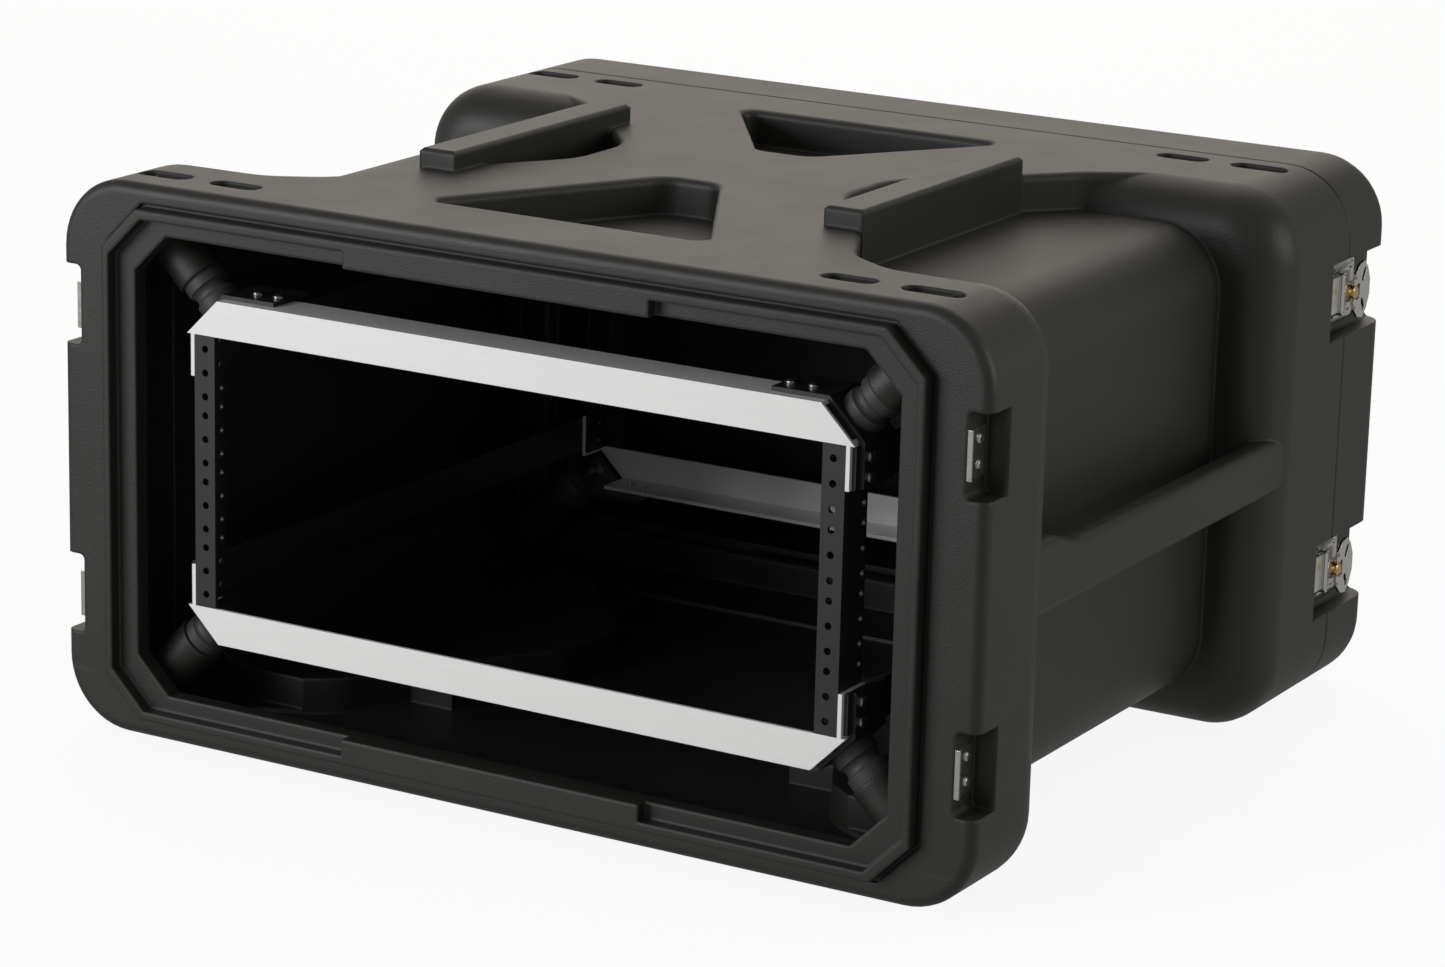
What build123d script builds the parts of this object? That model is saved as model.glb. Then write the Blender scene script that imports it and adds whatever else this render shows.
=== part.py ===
from build123d import *
import os
from math import sqrt

# Roto-moulded shock-mount rack case, 4 rack units, front lid off, rear lid latched on.
# Millimetres.  Build axes: X to the right, Y into the case from the front face of the
# rack rails, Z up from the middle of the rack opening.  Everything is moved at the end
# so that the origin is the middle of the bounding box's bottom.

# ---- rack opening (EIA-310, 19 inch) ----
rack_units = 4
unit = 44.45
rail_hole_pitch_x = 465.1
unit_hole_steps = (6.35, 22.225, 38.1)
rail_hole_r = 2.4
rail_depth = 508.0

# ---- moulded shell ----
rim_half_w = 341.5
rim_half_h = 187.0
rim_corner_r = 48.0
rim_front_y = -9.0
front_rim_back_y = 88.0
rear_rim_front_y = rail_depth - 106.0
seam_y = rail_depth + 8.0
rim_shoulder_r = 32.0
rim_edge_r = 7.0
rim_wall_side = 25.5
rim_wall_top = 9.0
wall = 6.0
side_inset = 43.5
top_inset = 25.0
body_corner_r = 44.0
web_edge_r = 5.0
body_half_w = rim_half_w - side_inset
body_half_h = rim_half_h - top_inset

# ---- lip round each opening ----
lip_border_side = 59.5
lip_border_top = 32.0
tongue_gap_side = 15.0
tongue_gap_top = 11.0
tongue_t = 5.0
tongue_out = 9.0
lip_chamfer = 25.0
block_half_w = 112.0
lip_half_w = rim_half_w - lip_border_side
lip_half_h = rim_half_h - lip_border_top
tongue_in_w = lip_half_w + tongue_gap_side
tongue_in_h = lip_half_h + tongue_gap_top

# ---- top web, stacking bars, dimples, feet and grips ----
bar_x0 = 139.0
bar_x1 = 167.0
bar_y0 = front_rim_back_y + 60.0
bar_y1 = rear_rim_front_y - 35.0
bar_rise = 13.0
bar_top = rim_half_h + bar_rise
bar_clearance = 2.0
recess_half_w = 105.0
recess_tip_half_w = 20.0
front_recess_base_y = rim_front_y + 73.0
front_recess_tip_y = bar_y0 + 72.0
rear_recess_base_y = seam_y - 54.0
rear_recess_tip_y = bar_y1 - 28.0
dimple_depth = 5.0
foot_h = 4.0
grip_gap = 23.0
grip_low_z = -16.0
grip_top_z = 21.0

# ---- latch pockets and latches ----
pocket_depth = 15.5
pocket_floor = rim_half_w - pocket_depth
pocket_heights = (100.5, -96.0)
pocket_half_h = 27.0
front_pocket_back_y = 16.0
rear_pocket_front_y = seam_y - 25.0
hub_y = seam_y + 20.0
claw_pin_y = seam_y + 10.0
claw_pin_u = 7.7
wing_pin_u = 12.6
lip_y = seam_y - 3.0
keeper_t = 1.5
keeper_lip_h = 3.4
keeper_rivet_z = (8.0, -8.0)
link_travel = 5.0
link_clearance = 1.0

# ---- rear lid ----
lid_gap = 0.3
lid_depth = 70.0
lid_back_y = seam_y + lid_depth
lid_back_r = 18.0

# ---- rack frame ----
panel_half_w = 247.0
panel_in_z = 91.5
panel_face_h = 24.0
panel_t = 2.5
flange_d = 31.0
rail_face_w = 16.0
rail_len = 182.0
mount_y = 27.0
mount_len = 24.0
mount_r = 15.0
bolt_r = 2.9


def block(x0, x1, y0, y1, z0, z1):
    mid = ((x0 + x1) / 2, (y0 + y1) / 2, (z0 + z1) / 2)
    return Pos(*mid) * Box(abs(x1 - x0), abs(y1 - y0), abs(z1 - z0))


def along_y(face, y0, y1):
    return extrude(Plane.XZ.offset(-y1) * face, amount=y1 - y0, dir=(0, -1, 0))


def along_x(face, x0, x1):
    return extrude(Plane.YZ.offset(x0) * face, amount=x1 - x0, dir=(1, 0, 0))


def along_z(face, z0, z1):
    return extrude(Plane.XY.offset(z0) * face, amount=z1 - z0, dir=(0, 0, 1))


def poly(points):
    return Polygon(*points, align=None)


def octagon(half_w, half_h, cut):
    pts = [(half_w, half_h - cut), (half_w - cut, half_h)]
    pts += [(cut - half_w, half_h), (-half_w, half_h - cut)]
    pts += [(-half_w, cut - half_h), (cut - half_w, -half_h)]
    pts += [(half_w - cut, -half_h), (half_w, cut - half_h)]
    return poly(pts)


def rounded(half_w, half_h, r):
    return RectangleRounded(2 * half_w, 2 * half_h, r)


def mirror_x(shape):
    return mirror(shape, about=Plane.YZ)


def mirror_z(shape):
    return mirror(shape, about=Plane.XY)


def both_sides(shape):
    return [shape, mirror_x(shape)]


def four_corners(shape):
    out = both_sides(shape)
    return out + [mirror_z(s) for s in out]


def peg(x, y, z, direction, r, length):
    return Plane(origin=(x, y, z), z_dir=direction) * Cylinder(
        r, length, align=(Align.CENTER, Align.CENTER, Align.MIN)
    )


def group(shapes):
    solids = []
    for s in shapes:
        solids += s.solids()
    return Compound(children=solids)


# ---------------------------------------------------------------- shell
def rim(y0, y1, shoulder_at_back):
    body = along_y(rounded(rim_half_w, rim_half_h, rim_corner_r), y0, y1)
    ends = body.faces().sort_by(Axis.Y)
    shoulder = ends[-1] if shoulder_at_back else ends[0]
    body = fillet(shoulder.edges(), rim_shoulder_r)
    ends = body.faces().sort_by(Axis.Y)
    mouth = ends[0] if shoulder_at_back else ends[-1]
    edge_r = rim_edge_r if shoulder_at_back else 1.5
    return fillet(mouth.edges(), edge_r)


def web_outline(inset):
    # hourglass: wide at the rims, drawn in beside the stacking bars
    i = inset
    edge = body_half_w - 2
    f = front_rim_back_y
    r = rear_rim_front_y
    right = [
        (edge - i, f - 48 + i), (edge - i, f - 24), (232 - i, f - 22), (196 - i, f),
        (bar_x1 - i, bar_y0 - 2), (104 - i, bar_y0 + 90), (104 - i, bar_y1 - 67),
        (bar_x1 - i, bar_y1 + 3), (196 - i, r + 2), (232 - i, r + 26),
        (edge - i, r + 26), (edge - i, r + 48 - i),
    ]
    left = [(-x, y) for x, y in reversed(right)]
    face = poly(right + left)
    bends = [v for v in face.vertices() if abs(v.X) < 240]
    return fillet(bends, 46)


def recess_outline(grow, y_base, y_tip):
    # triangle with a blunt tip, its base towards the nearer rim
    s = 1 if y_tip > y_base else -1
    g = grow
    pts = [
        (-recess_half_w - g, y_base - s * g), (recess_half_w + g, y_base - s * g),
        (recess_tip_half_w + g, y_tip + s * g), (-recess_tip_half_w - g, y_tip + s * g),
    ]
    face = poly(pts)
    base = [v for v in face.vertices() if abs(v.X) > 80]
    face = fillet(base, 8)
    tips = [v for v in face.vertices() if abs(v.Y - y_tip) < 12 and abs(v.X) < 40]
    return fillet(tips, 18)


def web_plate():
    plate = along_z(web_outline(0), body_half_h - 12, rim_half_h)
    top = plate.faces().sort_by(Axis.Z)[-1]
    return fillet(top.edges(), web_edge_r)


def web_hollow():
    return along_z(web_outline(wall), body_half_h - 20, rim_half_h - wall)


def recesses(grow, z0):
    # the two triangular recesses of the top, from height z0 up
    places = (
        (front_recess_base_y, front_recess_tip_y), (rear_recess_base_y, rear_recess_tip_y),
    )
    return [along_z(recess_outline(grow, y0, y1), z0, rim_half_h + 1) for y0, y1 in places]


def recess_edges(body):
    out = []
    for e in body.edges():
        mid = e.center()
        level = abs(mid.Z - rim_half_h) < 0.01
        inside = front_recess_base_y - 1 < mid.Y < rear_recess_base_y + 1
        if level and inside and abs(mid.X) < recess_half_w and not in_waist(mid):
            out.append(e)
    return out


def in_waist(mid):
    # between the tips of the two recesses
    return front_recess_tip_y + 1 < mid.Y < rear_recess_tip_y - 1


def stacking_bar():
    bar = block(bar_x0, bar_x1, bar_y0, bar_y1, body_half_h - 6, bar_top)
    top = bar.faces().sort_by(Axis.Z)[-1]
    return chamfer(top.edges(), 2.2)


def grip():
    y0 = front_rim_back_y - 28
    y1 = rear_rim_front_y + 28
    pts = [
        (y0, grip_low_z), (y1, grip_low_z), (y1, grip_top_z),
        (y0 + 64, grip_top_z), (y0 + 34, grip_top_z + 9), (y0, grip_top_z + 9),
    ]
    face = poly(pts)
    bends = [v for v in face.vertices() if y0 + 20 < v.X < y0 + 80]
    bar = along_x(fillet(bends, 24), body_half_w + grip_gap, rim_half_w - 1.0)
    long_edges = [e for e in bar.edges() if e.length > 200]
    return fillet(long_edges, 7)


# ---------------------------------------------------------------- dimples and feet
def dimple_places():
    # x, y, length and width of each long hole on the right half
    places = []
    for y in (rim_front_y + 34, seam_y - 24):
        places += [(226, y, 38, 16), (rim_half_w - 59, y, 41, 17)]
    return places


def dimple(x, y, length, width):
    return Pos(x, y, rim_half_h) * along_z(SlotOverall(length, width), -dimple_depth, 5)


def foot(x, y, length, width):
    pad = along_z(SlotOverall(length - 4, width - 4), -rim_half_h - foot_h, -rim_half_h + 3)
    return Pos(x, y, 0) * pad


def lip_ring(y0, y1):
    # tongue round the opening, with a filled block in the middle of its top and bottom
    big = octagon(tongue_in_w + tongue_t, tongue_in_h + tongue_t + 1, lip_chamfer + 2)
    small = octagon(tongue_in_w, tongue_in_h, lip_chamfer + 1)
    ring = along_y(big - small, y0, y1)
    for s in (1, -1):
        ring += block(
            -block_half_w, block_half_w, y0, y1, s * lip_half_h, s * (tongue_in_h + tongue_t - 2)
        )
    return ring


def seat_groove(y0, y1):
    big = octagon(tongue_in_w + tongue_t + 2.5, tongue_in_h + tongue_t + 3.5, lip_chamfer + 3)
    small = octagon(tongue_in_w + tongue_t, tongue_in_h + tongue_t + 1, lip_chamfer + 2)
    return along_y(big - small, y0, y1)


def corner_boss(y):
    # 45 degree boss that the elastomer mount bolts to
    d = 1 / sqrt(2)
    start = mount_start()
    x = start[0] + mount_len * d
    z = start[1] + mount_len * d
    return peg(x, y, z, (1, 0, 1), 17.0, 71.0)


def mount_start():
    # middle of the 45 degree face of the frame's corner bracket
    return (236.9, 105.6)


def latch_pocket(y0, y1):
    cut = block(pocket_floor, rim_half_w + 20, y0, y1, -pocket_half_h, pocket_half_h)
    inner = [e for e in cut.edges() if abs(e.center().X - pocket_floor) < 0.1]
    inner = [e for e in inner if abs(e.center().Y - (y0 + y1) / 2) < 1.0]
    return fillet(inner, 4)


def pockets(y0, y1):
    out = []
    for z in pocket_heights:
        out += both_sides(Pos(0, 0, z) * latch_pocket(y0, y1))
    return out


def shell():
    body = along_y(
        rounded(body_half_w, body_half_h, body_corner_r),
        front_rim_back_y - 48, rear_rim_front_y + 48,
    )
    body += rim(rim_front_y, front_rim_back_y, True)
    body += rim(rear_rim_front_y, seam_y, False)
    web = web_plate()
    body += web
    body += mirror_z(web)
    for hole in recesses(0, body_half_h):
        body -= hole
    body = fillet(recess_edges(body), web_edge_r)
    for b in both_sides(stacking_bar()):
        body += b
    # channels under the bottom web clear the bars of the case below
    x0 = bar_x0 - bar_clearance
    x1 = bar_x1 + bar_clearance
    y0 = bar_y0 - bar_clearance - 1
    y1 = bar_y1 + bar_clearance + 1
    channel_top = -rim_half_h + bar_rise + 3
    for c in both_sides(block(x0, x1, y0, y1, -rim_half_h - 1, channel_top)):
        body -= c
    body -= cavity()
    for x, y, length, width in dimple_places():
        for s in (1, -1):
            body -= dimple(s * x, y, length, width)
            body += foot(s * x, y, length, width)
    for g in both_sides(grip()):
        body += g
    # openings
    for y0, y1 in ((rim_front_y - 21, 8), (seam_y - 16, seam_y + 14)):
        body -= along_y(octagon(lip_half_w, lip_half_h, lip_chamfer), y0, y1)
    body += lip_ring(rim_front_y - tongue_out, rim_front_y + 2)
    body += lip_ring(seam_y - 2, seam_y + tongue_out)
    body -= seat_groove(rim_front_y - 1, rim_front_y + 3)
    for p in pockets(rim_front_y - 21, front_pocket_back_y):
        body -= p
    for p in pockets(rear_pocket_front_y, seam_y + 14):
        body -= p
    for y in (mount_y, rail_depth - mount_y):
        for b in four_corners(corner_boss(y)):
            body += b
    for hole in drill_keepers():
        body -= hole
    return body


def cavity():
    inside = along_y(
        rounded(body_half_w - wall, body_half_h - wall, body_corner_r - wall), 3, seam_y - 12
    )
    for y0, y1 in ((5, front_rim_back_y - 12), (rear_rim_front_y + 12, seam_y - 13)):
        inside += along_y(
            rounded(rim_half_w - rim_wall_side, rim_half_h - rim_wall_top, rim_corner_r - 6), y0, y1
        )
    hollow = web_hollow()
    inside += hollow
    # the floor keeps a wall round each channel
    floor_hollow = mirror_z(hollow)
    x0 = bar_x0 - bar_clearance - wall
    x1 = bar_x1 + bar_clearance + wall
    y0 = bar_y0 - bar_clearance - wall - 1
    y1 = bar_y1 + bar_clearance + wall + 1
    for c in both_sides(block(x0, x1, y0, y1, -rim_half_h - 3, -body_half_h - 1)):
        floor_hollow -= c
    inside += floor_hollow
    for guard in recesses(wall, body_half_h - wall):
        inside -= guard
    x0 = bar_x0 + wall
    x1 = bar_x1 - wall
    for b in both_sides(
        block(x0, x1, bar_y0 + wall, bar_y1 - wall, body_half_h - 20, bar_top - wall)
    ):
        inside += b
    return inside


# ---------------------------------------------------------------- keepers
def keeper_local(direction):
    # plate on the pocket floor, its lip at the seam; direction +1 has the lip at +Y
    plate = block(0, keeper_t, -18.5, keeper_t, -15.5, 15.5)
    lip = block(0, keeper_lip_h, 0, keeper_t, -15.5, 15.5)
    part = plate + lip
    for z in keeper_rivet_z:
        part -= peg(-1, -12, z, (1, 0, 0), 2.1, 4)
    if direction < 0:
        part = mirror(part, about=Plane.XZ)
    return part


def keeper_rivet_local(direction):
    y = -12 * direction
    out = []
    for z in keeper_rivet_z:
        head = peg(keeper_t, y, z, (1, 0, 0), 3.2, 1.1)
        head = chamfer(head.faces().sort_by(Axis.X)[-1].edges(), 0.7)
        out.append(head + peg(-4.0, y, z, (1, 0, 0), 2.0, 5.6))
    return out


def keeper_spots():
    return [
        ("front", front_lip_y(), -1), ("rear", lip_y, 1),
    ]


def front_lip_y():
    return rim_front_y + 2.0


def drill_keepers():
    out = []
    for end, y, direction in keeper_spots():
        for z in pocket_heights:
            for dz in keeper_rivet_z:
                hole = peg(pocket_floor - 4.0, y - 12 * direction, z + dz, (1, 0, 0), 2.0, 8)
                out += both_sides(hole)
    return out


# ---------------------------------------------------------------- rear lid
def rear_lid():
    y0 = seam_y + lid_gap
    lid = along_y(rounded(rim_half_w, rim_half_h, rim_corner_r), y0, lid_back_y)
    ends = lid.faces().sort_by(Axis.Y)
    lid = fillet(ends[-1].edges(), lid_back_r)
    lid = fillet(lid.faces().sort_by(Axis.Y)[0].edges(), 1.5)
    lid -= along_y(rounded(lip_half_w + 6, lip_half_h - 6, 30), y0 - 1, lid_back_y - 8)
    # groove for the shell's tongue and the gasket
    big = octagon(tongue_in_w + tongue_t + 1, tongue_in_h + tongue_t + 2, lip_chamfer + 2.4)
    small = octagon(tongue_in_w - 1, tongue_in_h - 1, lip_chamfer + 0.6)
    groove_back = y0 + tongue_out + 2.2
    groove = along_y(big - small, y0 - 1, groove_back)
    for s in (1, -1):
        w = block_half_w + 1
        groove += block(-w, w, y0 - 1, groove_back, s * (lip_half_h - 1), s * (tongue_in_h + tongue_t - 2))
    lid -= groove
    for p in pockets(y0 - 1, lid_back_y + 5):
        lid -= p
    # shallow panel with ribs on the back
    panel = along_y(rounded(262, 112, 26), lid_back_y - 3, lid_back_y + 1)
    for z in (-56, 0, 56):
        panel -= block(-230, 230, lid_back_y - 4, lid_back_y + 2, z - 7, z + 7)
    lid -= panel
    for hole in drill_latch():
        lid -= hole
    return lid


def lid_gasket():
    big = octagon(tongue_in_w + tongue_t + 0.6, tongue_in_h + tongue_t + 1.6, lip_chamfer + 2.2)
    small = octagon(tongue_in_w - 0.6, tongue_in_h - 0.6, lip_chamfer + 0.8)
    groove_back = seam_y + lid_gap + tongue_out + 2.2
    ring = along_y(big - small, groove_back - 1.5, groove_back)
    return ring


# ---------------------------------------------------------------- twist latch
# Local axes of a latch: X away from the pocket floor, Y as the case, Z from its middle.
def latch_base():
    plate = along_x(Pos(seam_y + 22, 0) * RectangleRounded(43, 42, 5), 0.0, 1.6)
    for y, z in latch_rivet_spots():
        plate -= peg(-1, y, z, (1, 0, 0), 2.1, 4)
    plate += peg(1.6, hub_y, 0, (1, 0, 0), 1.8, 7.0)
    # side rails that guide the sliding link
    for s in (1, -1):
        plate += block(0.8, 4.6, seam_y + 5, seam_y + 35, s * 15.6, s * 17.2)
    return plate


def latch_rivet_spots():
    front = seam_y + 5.5
    back = seam_y + 39.0
    return [(back, 15.0), (back, -15.0), (front, 10.0), (front, -10.0)]


def latch_rivets_local():
    out = []
    for y, z in latch_rivet_spots():
        head = peg(1.6, y, z, (1, 0, 0), 3.0, 1.0)
        head = chamfer(head.faces().sort_by(Axis.X)[-1].edges(), 0.6)
        out.append(head + peg(-5.0, y, z, (1, 0, 0), 2.0, 6.7))
    return out


def drill_latch():
    out = []
    for z0 in pocket_heights:
        for y, z in latch_rivet_spots():
            out += both_sides(peg(pocket_floor - 5.0, y, z0 + z, (1, 0, 0), 2.0, 8))
    return out


def latch_hub():
    hub = peg(1.8, hub_y, 0, (1, 0, 0), 8.0, 1.4)
    hub += peg(1.8, hub_y, 0, (1, 0, 0), 4.5, wing_pin_u - 0.1)
    hub = chamfer(hub.faces().sort_by(Axis.X)[-1].edges(), 0.8)
    hub -= peg(0, hub_y, 0, (1, 0, 0), 2.05, 9.0)
    hub += Pos(wing_pin_u, hub_y, 0) * Cylinder(1.2, 18.4)
    return hub


def latch_wing():
    outline = poly([
        (-1.5, -12), (-1.5, 12), (6, 18.5), (14, 20), (20, 14.5), (24.6, 5.5),
        (24.6, -5.5), (20, -14.5), (14, -20), (6, -18.5),
    ])
    face = fillet(outline.vertices(), 1.4)
    face -= Pos(1.5, 0) * Rectangle(11.5, 10.8)
    for s in (1, -1):
        face -= Pos(13.5, s * 10.5) * Rot(0, 0, s * 62) * SlotOverall(10, 4)
    wing = Pos(0, hub_y, 0) * along_x(face, wing_pin_u - 1.0, wing_pin_u + 1.0)
    for s in (1, -1):
        wing += Pos(wing_pin_u, hub_y, s * 7.4) * Cylinder(2.3, 4.0)
    wing -= Pos(wing_pin_u, hub_y, 0) * Cylinder(1.4, 24)
    return wing


def latch_link():
    y0 = lip_y + keeper_t + link_travel + link_clearance
    y1 = hub_y + link_travel + 7.0
    outline = Pos((y0 + y1) / 2, 0) * RectangleRounded(y1 - y0, 27, 2)
    slot = Pos(hub_y + link_travel / 2, 0) * SlotCenterToCenter(link_travel, 10.0)
    plate = along_x(outline - slot, 3.6, 5.1)
    for s in (1, -1):
        plate += block(3.6, 9.6, claw_pin_y - 2.2, claw_pin_y + 2.2, s * 13.2, s * 15.0)
    plate += Pos(claw_pin_u, claw_pin_y, 0) * Cylinder(1.1, 29.0)
    return plate


def latch_claw():
    y0 = lip_y - 2.8
    plate = block(5.5, 7.1, y0, claw_pin_y, -12.6, 12.6)
    hook = block(2.2, 7.1, y0, y0 + 2.0, -12.6, 12.6)
    knuckle = Pos(claw_pin_u, claw_pin_y, 0) * Cylinder(2.1, 25.2)
    claw = plate + knuckle + hook
    claw -= Pos(claw_pin_u, claw_pin_y, 0) * Cylinder(1.3, 30)
    return claw


# ---------------------------------------------------------------- rack frame
def cross_member():
    # front upper angle: mitred face, shelf behind it and a tab down each end
    x1 = panel_half_w
    x0 = panel_half_w - panel_face_h
    z0 = panel_in_z
    z1 = panel_in_z + panel_face_h
    face = poly([(-x1, z0), (-x0, z1), (x0, z1), (x1, z0)])
    part = along_y(face, 0, panel_t)
    part += block(-x0, x0, 0, flange_d, z1 - panel_t, z1)
    for s in (1, -1):
        part += block(s * 241.0, s * 243.8, 0, 29, z0 - 28, z0 + 2)
    for s in (1, -1):
        for x in (206, 190):
            part -= peg(s * x, 22, z1 - 6, (0, 0, 1), 2.1, 12)
        for z in (z0 - 21, z0 - 8):
            part -= peg(s * 238, 15, z, (s, 0, 0), 2.1, 9)
    return part


def rail_hole_heights():
    top = rack_units * unit / 2
    out = []
    for u in range(rack_units):
        for step in unit_hole_steps:
            out.append(top - u * unit - step)
    return out


def rack_rail():
    # right-hand front rail, an L with tapped holes in both legs
    x_out = 241.0
    half = rail_len / 2
    rail = block(x_out - rail_face_w, x_out, 0, 2.6, -half, half)
    rail += block(x_out - 2.6, x_out, 0, 29, -half, half)
    for z in rail_hole_heights():
        rail -= peg(rail_hole_pitch_x / 2, -1, z, (0, 1, 0), rail_hole_r, 5)
        rail -= peg(x_out - 5, 25, z, (1, 0, 0), rail_hole_r, 8)
    for z in (70.5, 83.5):
        for s in (1, -1):
            rail -= peg(x_out - 5, 15, s * z, (1, 0, 0), 2.1, 8)
    return rail


def side_brace():
    # upper right flat that ties the front frame to the rear one
    brace = block(243.8, 246.6, 3, rail_depth - 3, 64, 90)
    for y in (15, rail_depth - 15):
        for z in (70.5, 83.5):
            brace -= peg(242, y, z, (1, 0, 0), 2.1, 8)
    for y in (mount_y, rail_depth - mount_y):
        brace -= peg(242, y, 77, (1, 0, 0), 2.1, 8)
    return brace


def mount_bracket():
    t = 2.8
    inner = [(246.6, 64), (246.6, 91.9), (223.0, 115.5), (184, 115.5)]
    outer = [(184, 118.3), (224.2, 118.3), (249.4, 93.1), (249.4, 64)]
    part = along_y(poly(inner + outer), 8, 46)
    sx, sz = mount_start()
    part -= peg(sx - 4, mount_y, sz - 4, (1, 0, 1), bolt_r + 0.3, 14)
    for x in (206, 190):
        part -= peg(x, 22, 112, (0, 0, 1), 2.1, 10)
    part -= peg(244, 15, 83.5, (1, 0, 0), 2.1, 8)
    part -= peg(244, 15, 70.5, (1, 0, 0), 2.1, 8)
    part -= peg(244, mount_y, 77, (1, 0, 0), 2.1, 8)
    return part


def elastomer():
    sx, sz = mount_start()
    frame = Plane(origin=(sx, mount_y, sz), z_dir=(1, 0, 1))
    body = Cylinder(mount_r, mount_len, align=(Align.CENTER, Align.CENTER, Align.MIN))
    waist = Pos(0, 0, mount_len / 2) * Torus(mount_r + 2.5, 5.0)
    bore = Cylinder(bolt_r + 0.1, 12, align=(Align.CENTER, Align.CENTER, Align.MIN))
    return frame * (body - waist - bore)


def mount_bolt():
    sx, sz = mount_start()
    d = 1 / sqrt(2)
    t = 4.0 * d
    head = peg(sx - (t + 4) * d, mount_y, sz - (t + 4) * d, (1, 0, 1), 6.0, 4.0)
    shank = peg(sx - (t + 1) * d, mount_y, sz - (t + 1) * d, (1, 0, 1), bolt_r, t + 10)
    return head + shank


def screw(x, y, z, direction, grip_len):
    head = peg(x, y, z, direction, 3.8, 2.4)
    far = Vector(*direction) * 2.4
    tip = head.faces().sort_by(Axis((x, y, z), direction))[-1]
    head = chamfer(tip.edges(), 0.9)
    inner = Vector(x, y, z) - Vector(*direction) * grip_len
    shank = peg(inner.X, inner.Y, inner.Z, direction, 2.0, grip_len + 0.5)
    return head + shank


def shelf_screws():
    out = []
    for x in (206, 190):
        out.append(screw(x, 22, 118.3, (0, 0, 1), 8.0))
    return out


def brace_screws():
    out = []
    for z in (70.5, 83.5):
        out.append(screw(249.4, 15, z, (1, 0, 0), 12.0))
    return out


def to_rear(shape):
    return Pos(0, rail_depth, 0) * mirror(shape, about=Plane.XZ)


# ---------------------------------------------------------------- export
names = {}


def keep(name, shape):
    names[name] = shape


keep("shell", shell())
keep("rear_lid", rear_lid())
keep("rear_lid_gasket", lid_gasket())

sides = (("right", 1), ("left", -1))
levels = (("upper", 1, pocket_heights[0]), ("lower", -1, pocket_heights[1]))
rivets = []
for end, y, direction in keeper_spots():
    for side, sx in sides:
        for level, sz, z in levels:
            spot = Pos(pocket_floor, y, z)
            part = spot * keeper_local(direction)
            pins = [spot * p for p in keeper_rivet_local(direction)]
            if sx < 0:
                part = mirror_x(part)
                pins = [mirror_x(p) for p in pins]
            keep("keeper_" + end + "_" + side + "_" + level, part)
            rivets += pins
keep("keeper_rivets", group(rivets))

latch_parts = (
    ("base", latch_base()), ("link", latch_link()), ("claw", latch_claw()),
    ("hub", latch_hub()), ("wing", latch_wing()),
)
rivets = []
for side, sx in sides:
    for level, sz, z in levels:
        spot = Pos(pocket_floor, 0, z)
        for piece, shape in latch_parts:
            placed = spot * shape
            if sx < 0:
                placed = mirror_x(placed)
            keep("latch_" + piece + "_" + side + "_" + level, placed)
        for pin in latch_rivets_local():
            placed = spot * pin
            rivets.append(placed if sx > 0 else mirror_x(placed))
keep("latch_rivets", group(rivets))

member = cross_member()
keep("cross_member_front_upper", member)
keep("cross_member_front_lower", mirror_z(member))
keep("cross_member_rear_upper", to_rear(member))
keep("cross_member_rear_lower", mirror_z(to_rear(member)))
rail = rack_rail()
keep("rack_rail_front_right", rail)
keep("rack_rail_front_left", mirror_x(rail))
keep("rack_rail_rear_right", to_rear(rail))
keep("rack_rail_rear_left", mirror_x(to_rear(rail)))
brace = side_brace()
keep("side_brace_right_upper", brace)
keep("side_brace_left_upper", mirror_x(brace))
keep("side_brace_right_lower", mirror_z(brace))
keep("side_brace_left_lower", mirror_z(mirror_x(brace)))

brackets = []
bolts = []
screws = []
for end in ("front", "rear"):
    for side, sx in sides:
        for level, sz, z in levels:
            pieces = [mount_bracket(), elastomer(), mount_bolt()]
            pieces += shelf_screws() + brace_screws()
            if end == "rear":
                pieces = [to_rear(p) for p in pieces]
            if sx < 0:
                pieces = [mirror_x(p) for p in pieces]
            if sz < 0:
                pieces = [mirror_z(p) for p in pieces]
            brackets.append(pieces[0])
            keep("shock_mount_" + end + "_" + side + "_" + level, pieces[1])
            bolts.append(pieces[2])
            screws += pieces[3:]
keep("mount_brackets", group(brackets))
keep("mount_bolts", group(bolts))
keep("frame_screws", group(screws))

front_y = rim_front_y - tongue_out
shift = Pos(0, -(front_y + lid_back_y) / 2, rim_half_h + foot_h)
os.makedirs("parts", exist_ok=True)
for name, shape in names.items():
    placed = shift * shape
    export_step(placed, "parts/" + name + ".step")
print(len(names), "nodes written")
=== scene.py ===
import math

import bmesh
import bpy
from mathutils import Matrix, Vector


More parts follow.
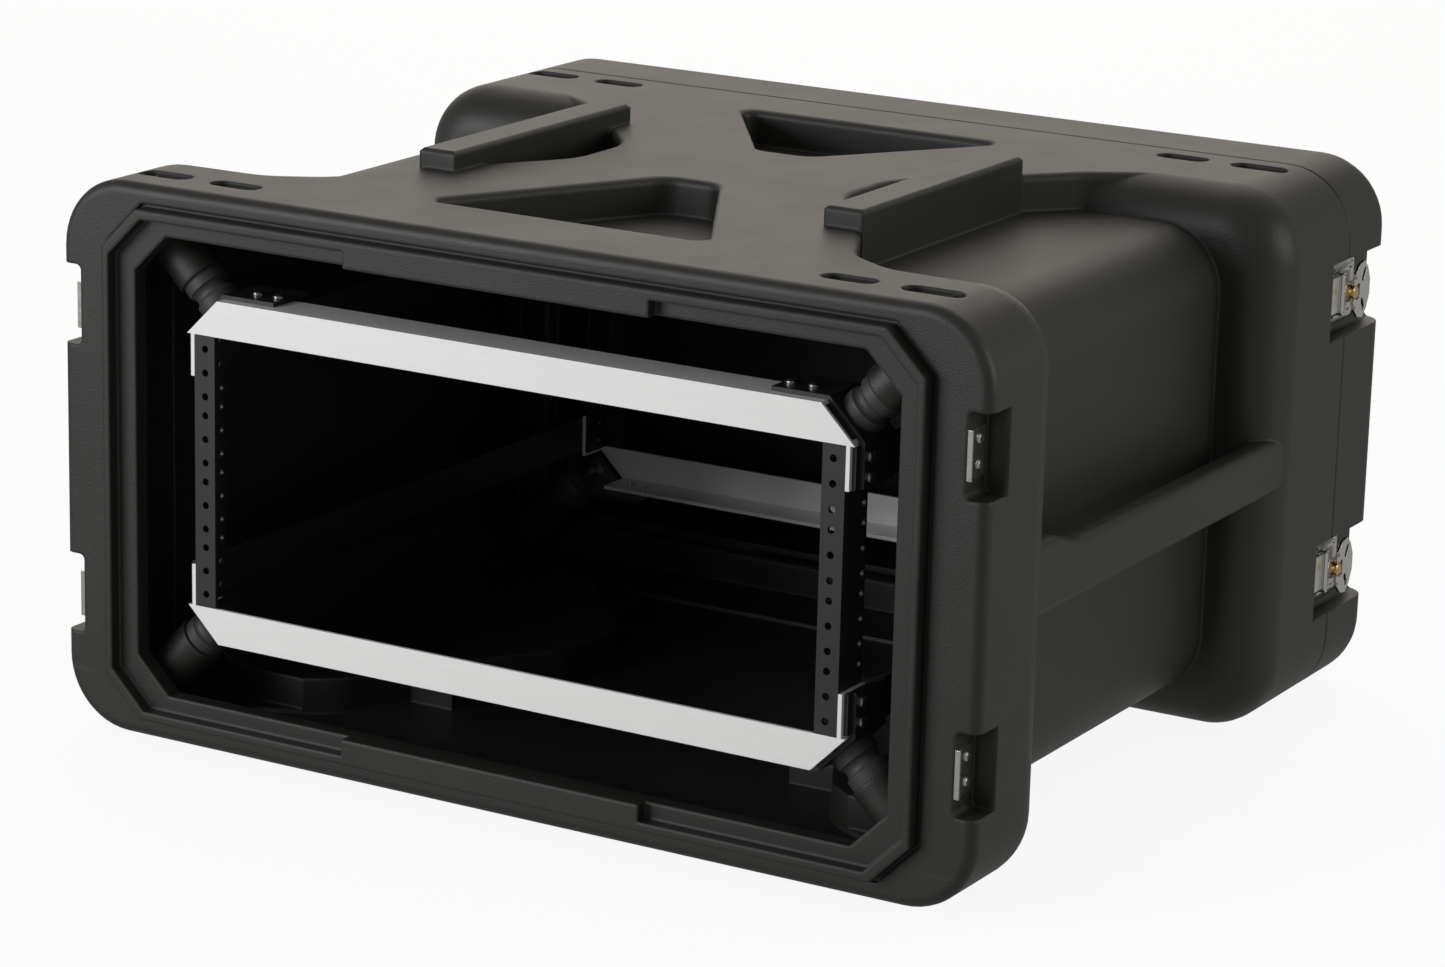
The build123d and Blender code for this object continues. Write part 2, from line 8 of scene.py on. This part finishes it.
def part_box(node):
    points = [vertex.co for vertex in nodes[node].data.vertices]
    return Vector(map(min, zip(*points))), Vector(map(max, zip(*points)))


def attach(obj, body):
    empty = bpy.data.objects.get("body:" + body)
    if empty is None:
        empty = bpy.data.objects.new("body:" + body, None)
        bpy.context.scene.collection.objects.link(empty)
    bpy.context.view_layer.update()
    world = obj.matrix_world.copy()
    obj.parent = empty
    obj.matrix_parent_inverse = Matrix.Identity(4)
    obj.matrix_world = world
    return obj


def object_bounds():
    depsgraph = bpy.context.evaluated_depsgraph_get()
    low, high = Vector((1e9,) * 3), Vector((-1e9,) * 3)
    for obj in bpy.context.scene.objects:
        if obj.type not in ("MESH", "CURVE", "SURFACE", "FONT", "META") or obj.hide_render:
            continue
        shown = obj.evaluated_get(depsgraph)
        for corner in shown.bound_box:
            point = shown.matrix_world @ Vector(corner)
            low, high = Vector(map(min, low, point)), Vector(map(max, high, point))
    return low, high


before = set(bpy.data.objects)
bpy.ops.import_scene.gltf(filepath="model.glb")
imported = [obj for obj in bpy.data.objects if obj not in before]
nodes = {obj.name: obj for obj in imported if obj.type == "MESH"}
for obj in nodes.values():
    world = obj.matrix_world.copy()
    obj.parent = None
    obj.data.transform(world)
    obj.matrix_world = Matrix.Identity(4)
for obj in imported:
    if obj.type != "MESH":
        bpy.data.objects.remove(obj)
cad_box = [list(corner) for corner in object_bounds()]


# ---- Moulded shell ----
# One rotationally moulded polyethylene shell: rims, web, grips and stacking bars in one
# skin.  The mould leaves a fine, even grain, and handling polishes the outer edges.

def new_material(name):
    material = bpy.data.materials.new(name)
    material.use_nodes = True
    tree = material.node_tree
    shader = tree.nodes["Principled BSDF"]
    return material, tree, shader


def add_node(tree, kind, **values):
    # a value is a property of the node, or else the default of the input with that name
    node = tree.nodes.new(kind)
    for key, value in values.items():
        if hasattr(node, key):
            setattr(node, key, value)
        else:
            node.inputs[key.replace("_", " ")].default_value = value
    return node


def group_node(tree, group, **values):
    node = tree.nodes.new("ShaderNodeGroup")
    node.node_tree = group
    for key, value in values.items():
        node.inputs[key.replace("_", " ")].default_value = value
    return node


def start_group(name, inputs, outputs):
    group = bpy.data.node_groups.new(name, "ShaderNodeTree")
    for label, kind, value in inputs:
        socket = group.interface.new_socket(name=label, in_out="INPUT", socket_type=kind)
        socket.default_value = value
    for label, kind in outputs:
        group.interface.new_socket(name=label, in_out="OUTPUT", socket_type=kind)
    return group, group.nodes.new("NodeGroupInput"), group.nodes.new("NodeGroupOutput")


def mix_colour(tree, factor, a, b):
    mix = tree.nodes.new("ShaderNodeMix")
    mix.data_type = "RGBA"
    tree.links.new(factor, mix.inputs[0])
    for socket, value in ((mix.inputs[6], a), (mix.inputs[7], b)):
        if isinstance(value, tuple):
            socket.default_value = value
        else:
            tree.links.new(value, socket)
    return mix.outputs[2]


FLOAT = "NodeSocketFloat"


def build_grain_group():
    # height of a fine pebbled grain, and a slow mottle; sizes count features in a metre
    group, inp, out = start_group(
        "moulded grain",
        [("Grain Size", FLOAT, 900.0), ("Mottle Size", FLOAT, 18.0)],
        [("Height", FLOAT), ("Mottle", FLOAT)],
    )
    place = group.nodes.new("ShaderNodeTexCoord")
    fine = add_node(group, "ShaderNodeTexNoise", Detail=3.0, Roughness=0.6)
    pebble = add_node(group, "ShaderNodeTexVoronoi", Randomness=1.0)
    slow = add_node(group, "ShaderNodeTexNoise", Detail=4.0, Roughness=0.55)
    for texture, size in ((fine, "Grain Size"), (pebble, "Grain Size"), (slow, "Mottle Size")):
        group.links.new(place.outputs["Object"], texture.inputs["Vector"])
        group.links.new(inp.outputs[size], texture.inputs["Scale"])
    height = add_node(group, "ShaderNodeMath", operation="ADD")
    group.links.new(fine.outputs["Fac"], height.inputs[0])
    group.links.new(pebble.outputs["Distance"], height.inputs[1])
    group.links.new(height.outputs[0], out.inputs["Height"])
    group.links.new(slow.outputs["Fac"], out.inputs["Mottle"])
    return group


def build_edge_group():
    # 1 on rounded-over outer edges, 0 on flats: how far the softened normal leans away
    group, inp, out = start_group(
        "edge polish",
        [("Radius", FLOAT, 0.002), ("Strength", FLOAT, 6.0)],
        [("Mask", FLOAT)],
    )
    soft = add_node(group, "ShaderNodeBevel", samples=4)
    group.links.new(inp.outputs["Radius"], soft.inputs["Radius"])
    flat = group.nodes.new("ShaderNodeNewGeometry")
    lean = add_node(group, "ShaderNodeVectorMath", operation="DOT_PRODUCT")
    group.links.new(soft.outputs["Normal"], lean.inputs[0])
    group.links.new(flat.outputs["True Normal"], lean.inputs[1])
    away = add_node(group, "ShaderNodeMath", operation="SUBTRACT")
    away.inputs[0].default_value = 1.0
    group.links.new(lean.outputs["Value"], away.inputs[1])
    scaled = add_node(group, "ShaderNodeMath", operation="MULTIPLY", use_clamp=True)
    group.links.new(away.outputs[0], scaled.inputs[0])
    group.links.new(inp.outputs["Strength"], scaled.inputs[1])
    group.links.new(scaled.outputs[0], out.inputs["Mask"])
    return group


def build_scuff_group():
    # sparse hairline scratches, crossing at a shallow angle: 1 in a scratch, 0 between
    group, inp, out = start_group(
        "handling scuffs",
        [("Scratch Size", FLOAT, 26.0), ("Threshold", FLOAT, 0.66)],
        [("Mask", FLOAT)],
    )
    place = group.nodes.new("ShaderNodeTexCoord")
    masks = []
    for turn in ((0.2, 0.1, 0.5), (1.2, 0.4, -0.7)):
        lay = add_node(group, "ShaderNodeMapping")
        lay.inputs["Rotation"].default_value = turn
        lay.inputs["Scale"].default_value = (0.35, 9.0, 9.0)
        group.links.new(place.outputs["Object"], lay.inputs["Vector"])
        noise = add_node(group, "ShaderNodeTexNoise", Detail=2.0, Roughness=0.5)
        group.links.new(lay.outputs["Vector"], noise.inputs["Vector"])
        group.links.new(inp.outputs["Scratch Size"], noise.inputs["Scale"])
        over = add_node(group, "ShaderNodeMapRange")
        group.links.new(noise.outputs["Fac"], over.inputs["Value"])
        group.links.new(inp.outputs["Threshold"], over.inputs["From Min"])
        over.inputs["From Max"].default_value = 0.86
        masks.append(over.outputs["Result"])
    either = add_node(group, "ShaderNodeMath", operation="MAXIMUM")
    group.links.new(masks[0], either.inputs[0])
    group.links.new(masks[1], either.inputs[1])
    group.links.new(either.outputs[0], out.inputs["Mask"])
    return group


grain_group = build_grain_group()
edge_group = build_edge_group()
scuff_group = build_scuff_group()

PLASTIC_DARK = (0.014, 0.0135, 0.0122, 1)
PLASTIC_LIGHT = (0.020, 0.0193, 0.0174, 1)
PLASTIC_WORN = (0.034, 0.0325, 0.0295, 1)
PLASTIC_ROUGHNESS = 0.46
ROUGHNESS_SPREAD = 0.06
SCUFF_DULLING = 0.12
GRAIN_DEPTH = 0.0003


def moulded_plastic(name, soft_radius):
    # warm black polyethylene; soft_radius is how far its edges are rounded in the shading
    material, tree, shader = new_material(name)
    grain = group_node(tree, grain_group, Grain_Size=1100.0, Mottle_Size=16.0)
    base = mix_colour(tree, grain.outputs["Mottle"], PLASTIC_DARK, PLASTIC_LIGHT)
    polish = group_node(tree, edge_group, Radius=soft_radius, Strength=1.6)
    tint = mix_colour(tree, polish.outputs["Mask"], base, PLASTIC_WORN)
    scuff = group_node(tree, scuff_group, Scratch_Size=26.0, Threshold=0.68)
    worn = mix_colour(tree, scuff.outputs["Mask"], tint, PLASTIC_WORN)
    tree.links.new(worn, shader.inputs["Base Color"])
    rough = add_node(tree, "ShaderNodeMapRange")
    tree.links.new(grain.outputs["Mottle"], rough.inputs["Value"])
    rough.inputs["To Min"].default_value = PLASTIC_ROUGHNESS - ROUGHNESS_SPREAD
    rough.inputs["To Max"].default_value = PLASTIC_ROUGHNESS + ROUGHNESS_SPREAD
    dull = add_node(tree, "ShaderNodeMath", operation="MULTIPLY_ADD")
    tree.links.new(scuff.outputs["Mask"], dull.inputs[0])
    dull.inputs[1].default_value = SCUFF_DULLING
    tree.links.new(rough.outputs["Result"], dull.inputs[2])
    tree.links.new(dull.outputs[0], shader.inputs["Roughness"])
    soft = add_node(tree, "ShaderNodeBevel", samples=6)
    soft.inputs["Radius"].default_value = soft_radius
    relief = add_node(tree, "ShaderNodeBump")
    relief.inputs["Strength"].default_value = 0.3
    relief.inputs["Distance"].default_value = GRAIN_DEPTH
    tree.links.new(grain.outputs["Height"], relief.inputs["Height"])
    tree.links.new(soft.outputs["Normal"], relief.inputs["Normal"])
    tree.links.new(relief.outputs["Normal"], shader.inputs["Normal"])
    shader.inputs["IOR"].default_value = 1.5
    return material


def dress(node, material):
    for slot in nodes[node].material_slots:
        slot.material = material


dress("shell", moulded_plastic("black polyethylene", 0.003))


# ---- Rear lid ----
# Moulded from the same polyethylene as the shell, and held on by the four latches.  A foam
# rubber gasket lies in its groove, over the shell's tongue.

dress("rear_lid", moulded_plastic("lid polyethylene", 0.0025))

FINISH_RELIEF = 0.0002
FINISH_EDGE_RADIUS = 0.0005


def plain_finish(name, colour_a, colour_b, roughness, metallic, scale, bump, stretch=(1, 1, 1)):
    # a mottle between two colours, with a slight relief; scale counts its features in a metre
    material, tree, shader = new_material(name)
    place = tree.nodes.new("ShaderNodeTexCoord")
    lay = add_node(tree, "ShaderNodeMapping")
    lay.inputs["Scale"].default_value = stretch
    noise = add_node(tree, "ShaderNodeTexNoise", Scale=scale, Detail=4.0)
    tree.links.new(place.outputs["Object"], lay.inputs["Vector"])
    tree.links.new(lay.outputs["Vector"], noise.inputs["Vector"])
    tree.links.new(
        mix_colour(tree, noise.outputs["Fac"], colour_a, colour_b), shader.inputs["Base Color"]
    )
    rough = add_node(tree, "ShaderNodeMapRange")
    tree.links.new(noise.outputs["Fac"], rough.inputs["Value"])
    rough.inputs["To Min"].default_value = roughness - ROUGHNESS_SPREAD
    rough.inputs["To Max"].default_value = roughness + ROUGHNESS_SPREAD
    tree.links.new(rough.outputs["Result"], shader.inputs["Roughness"])
    relief = add_node(tree, "ShaderNodeBump")
    relief.inputs["Strength"].default_value = bump
    relief.inputs["Distance"].default_value = FINISH_RELIEF
    tree.links.new(noise.outputs["Fac"], relief.inputs["Height"])
    soft = add_node(tree, "ShaderNodeBevel", samples=4)
    soft.inputs["Radius"].default_value = FINISH_EDGE_RADIUS
    tree.links.new(soft.outputs["Normal"], relief.inputs["Normal"])
    tree.links.new(relief.outputs["Normal"], shader.inputs["Normal"])
    shader.inputs["Metallic"].default_value = metallic
    return material


dress("rear_lid_gasket", plain_finish(
    "gasket foam", (0.012, 0.012, 0.012, 1), (0.02, 0.02, 0.02, 1), 0.85, 0.0, 900.0, 0.5))


# ---- Keepers ----
# Nickel-plated steel plates, their lips folded up, riveted to the pocket floors.

keeper_plate = plain_finish(
    "bright plated steel", (0.62, 0.61, 0.58, 1), (0.78, 0.77, 0.75, 1), 0.2, 1.0, 240.0, 0.1)
rivet_steel = plain_finish(
    "rivet steel", (0.5, 0.5, 0.49, 1), (0.7, 0.7, 0.69, 1), 0.28, 1.0, 300.0, 0.1)
for name in nodes:
    if name.startswith("keeper_"):
        dress(name, rivet_steel if name == "keeper_rivets" else keeper_plate)


# ---- Twist latches ----
# Chromed steel base, link, claw and folding wing round a turned brass hub, riveted to the
# lid's pocket floor.  A thin spring washer lies round each hub, under its wing.

latch_chrome = plain_finish(
    "latch chrome", (0.66, 0.65, 0.62, 1), (0.80, 0.79, 0.77, 1), 0.18, 1.0, 180.0, 0.06)
hub_brass = plain_finish(
    "hub brass", (0.62, 0.43, 0.17, 1), (0.78, 0.58, 0.26, 1), 0.24, 1.0, 260.0, 0.08)
for name in nodes:
    if name.startswith("latch_hub"):
        dress(name, hub_brass)
    elif name == "latch_rivets":
        dress(name, rivet_steel)
    elif name.startswith("latch_"):
        dress(name, latch_chrome)


def keep_mesh(name, shape, material, body):
    # writes the bmesh out as a piece that moves with one body of the frame
    mesh = bpy.data.meshes.new(name)
    shape.to_mesh(mesh)
    shape.free()
    mesh.materials.append(material)
    piece = bpy.data.objects.new(name, mesh)
    bpy.context.scene.collection.objects.link(piece)
    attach(piece, body)


WASHER_RADIUS = 0.0075
WASHER_THICKNESS = 0.0008
WASHER_EDGE = 0.00025
WASHER_BELOW_HUB_TOP = 0.0056


def spring_washer(latch):
    # square to the hub's axis, between the link and the wing's knuckles
    low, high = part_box("latch_hub_" + latch)
    side = 1 if low[0] > 0 else -1
    outer = max(abs(low[0]), abs(high[0]))
    middle_y = (low[1] + high[1]) / 2
    middle_z = (low[2] + high[2]) / 2
    shape = bmesh.new()
    bmesh.ops.create_cone(
        shape, cap_ends=True, segments=40,
        radius1=WASHER_RADIUS, radius2=WASHER_RADIUS, depth=WASHER_THICKNESS)
    rims = [e for e in shape.edges if abs(e.verts[0].co.z - e.verts[1].co.z) < 1e-6]
    bmesh.ops.bevel(
        shape, geom=rims, offset=WASHER_EDGE, segments=2, profile=0.5,
        affect="EDGES", material=-1)
    bmesh.ops.rotate(shape, verts=shape.verts, matrix=Matrix.Rotation(math.pi / 2, 3, "Y"))
    across = side * (outer - WASHER_BELOW_HUB_TOP)
    bmesh.ops.translate(shape, verts=shape.verts, vec=(across, middle_y, middle_z))
    keep_mesh("spring_washer_" + latch, shape, latch_chrome, "latch_hub_" + latch)


for latch in ("right_upper", "right_lower", "left_upper", "left_lower"):
    spring_washer(latch)


# ---- Rack frame ----
# Bright aluminium cross-members, folded from sheet and mitred at the corners, tie black
# powder-coated rack rails and side braces into one frame, held by zinc-plated screws.

member_aluminium = plain_finish(
    "brushed aluminium", (0.95, 0.95, 0.95, 1), (0.99, 0.99, 0.99, 1), 0.36, 0.15, 120.0, 0.12,
    (0.4, 6.0, 6.0))
rail_paint = plain_finish(
    "black powder coat", (0.012, 0.012, 0.012, 1), (0.02, 0.02, 0.02, 1), 0.45, 0.0, 1500.0, 0.35)
screw_steel = plain_finish(
    "bright zinc", (0.55, 0.55, 0.54, 1), (0.75, 0.75, 0.73, 1), 0.25, 1.0, 500.0, 0.1)
for name in nodes:
    if name.startswith("cross_member"):
        dress(name, member_aluminium)
    elif name.startswith(("rack_rail", "side_brace")):
        dress(name, rail_paint)
dress("frame_screws", screw_steel)


# ---- Shock mounts ----
# Eight rubber cylinders hang the rack frame in the shell.  Each is bolted between a painted
# steel bracket on the frame and a boss in a corner of the shell.

mount_rubber = plain_finish(
    "moulded rubber", (0.035, 0.035, 0.034, 1), (0.055, 0.055, 0.053, 1), 0.55, 0.0, 700.0, 0.15)
bolt_steel = plain_finish(
    "zinc steel", (0.45, 0.45, 0.44, 1), (0.6, 0.6, 0.58, 1), 0.32, 1.0, 400.0, 0.1)
for name in nodes:
    if name.startswith("shock_mount"):
        dress(name, mount_rubber)
dress("mount_brackets", rail_paint)
dress("mount_bolts", bolt_steel)


# ---- Screw drives ----
# The frame's screws have pressed cross recesses; each is shown as a thin inlaid cross of
# painted shade, standing in for the recess's shadow in the middle of a head.

# painted shade: a near-black finish standing in for the shadow inside each cross recess
recess_painted_shade = plain_finish(
    "recess shadow", (0.004, 0.004, 0.004, 1), (0.008, 0.008, 0.008, 1), 0.6, 0.0, 300.0, 0.1)
CROSS_LENGTH = 0.0040
CROSS_WIDTH = 0.0009
CROSS_THICKNESS = 0.00012


def loose_parts(mesh):
    # the lowest and highest corners of each separate solid in a node's mesh
    shape = bmesh.new()
    shape.from_mesh(mesh)
    bmesh.ops.remove_doubles(shape, verts=shape.verts, dist=1e-6)
    seen = set()
    found = []
    for seed in shape.verts:
        if seed in seen:
            continue
        seen.add(seed)
        island = [seed]
        for vert in island:
            for edge in vert.link_edges:
                other = edge.other_vert(vert)
                if other not in seen:
                    seen.add(other)
                    island.append(other)
        low = Vector([min(v.co[k] for v in island) for k in range(3)])
        high = Vector([max(v.co[k] for v in island) for k in range(3)])
        found.append((low, high))
    shape.free()
    return found


# each cross is a thin slab of painted shade laid on a screw head
crosses = bmesh.new()
middle = (Vector(cad_box[0]) + Vector(cad_box[1])) / 2
for low, high in loose_parts(nodes["frame_screws"].data):
    size = high - low
    axis = max(range(3), key=lambda k: size[k])
    at = (low + high) / 2
    outward = 1 if at[axis] > middle[axis] else -1
    at[axis] = high[axis] if outward > 0 else low[axis]
    flats = [k for k in range(3) if k != axis]
    for long_way, short_way in (flats, reversed(flats)):
        bar = bmesh.ops.create_cube(crosses, size=1.0)["verts"]
        scale = Vector((0, 0, 0))
        scale[long_way] = CROSS_LENGTH
        scale[short_way] = CROSS_WIDTH
        scale[axis] = CROSS_THICKNESS
        bmesh.ops.scale(crosses, verts=bar, vec=scale)
        bmesh.ops.translate(crosses, verts=bar, vec=at)
keep_mesh("screw_crosses", crosses, recess_painted_shade, "case")


# ---- Floor, light and camera ----
# A white studio floor that throws no light of its own back at the case.  Softboxes low behind
# and overhead sheen the top, one at the left lights the front, and one fills the right side.

FLOOR_HALF_SIZE = 30.0

floor_mesh = bpy.data.meshes.new("floor")
shape = bmesh.new()
bmesh.ops.create_grid(shape, x_segments=1, y_segments=1, size=FLOOR_HALF_SIZE)
shape.to_mesh(floor_mesh)
shape.free()
floor = bpy.data.objects.new("floor", floor_mesh)
bpy.context.scene.collection.objects.link(floor)
floor.visible_diffuse = False
floor.visible_glossy = False
floor_material, floor_tree, floor_shader = new_material("studio sweep")
floor_shader.inputs["Base Color"].default_value = (0.12, 0.12, 0.12, 1)
floor_shader.inputs["Roughness"].default_value = 1.0
floor_shader.inputs["Specular IOR Level"].default_value = 0.0
floor_shader.inputs["Emission Color"].default_value = (1, 1, 1, 1)
floor_shader.inputs["Emission Strength"].default_value = 0.9
floor_mesh.materials.append(floor_material)

world = bpy.data.worlds.new("studio")
bpy.context.scene.world = world
world.use_nodes = True
sky = world.node_tree.nodes["Background"]
sky.inputs["Color"].default_value = (1.0, 0.99, 0.96, 1)
sky.inputs["Strength"].default_value = 0.32


CASE_MIDDLE = Vector((0, 0, 0.2))


def soft_light(name, place, size, power, colour):
    light = bpy.data.lights.new(name, "AREA")
    light.shape = "RECTANGLE"
    light.size, light.size_y = size
    light.energy = power
    light.color = colour
    lamp = bpy.data.objects.new(name, light)
    bpy.context.scene.collection.objects.link(lamp)
    lamp.location = place
    aim = CASE_MIDDLE - Vector(place)
    lamp.rotation_euler = aim.to_track_quat("-Z", "Y").to_euler()


soft_light("low softbox behind", (-1.7, 3.0, 1.25), (3.6, 1.6), 18, (1.0, 0.89, 0.78))
soft_light("overhead", (-0.7, 1.5, 2.3), (2.2, 1.8), 12, (1.0, 0.92, 0.84))
soft_light("front left", (-1.9, -2.9, 0.9), (2.0, 1.6), 57, (0.99, 0.99, 1.0))
soft_light("right fill", (3.0, 0.6, 1.1), (1.6, 1.6), 22, (1.0, 1.0, 0.84))

VIEW_AZIMUTH = math.radians(30.207)
VIEW_ELEVATION = math.radians(15.200)
VIEW_ROLL = math.radians(1.474)
CAMERA_PLACE = Vector((1.5058, -2.6017, 0.9745))
back = Vector((
    math.sin(VIEW_AZIMUTH) * math.cos(VIEW_ELEVATION),
    -math.cos(VIEW_AZIMUTH) * math.cos(VIEW_ELEVATION),
    math.sin(VIEW_ELEVATION),
))
level_right = (-back).cross(Vector((0, 0, 1))).normalized()
level_up = level_right.cross(-back)
right = math.cos(VIEW_ROLL) * level_right + math.sin(VIEW_ROLL) * level_up
up = -math.sin(VIEW_ROLL) * level_right + math.cos(VIEW_ROLL) * level_up
camera = bpy.data.objects.new("camera", bpy.data.cameras.new("camera"))
bpy.context.scene.collection.objects.link(camera)
turn = Matrix((right, up, back)).transposed().to_4x4()
camera.matrix_world = Matrix.Translation(CAMERA_PLACE) @ turn
camera.data.sensor_width = 36.0
camera.data.lens = 114.25
camera.data.clip_end = 100.0
bpy.context.scene.camera = camera
bpy.context.scene.view_settings.view_transform = "Standard"
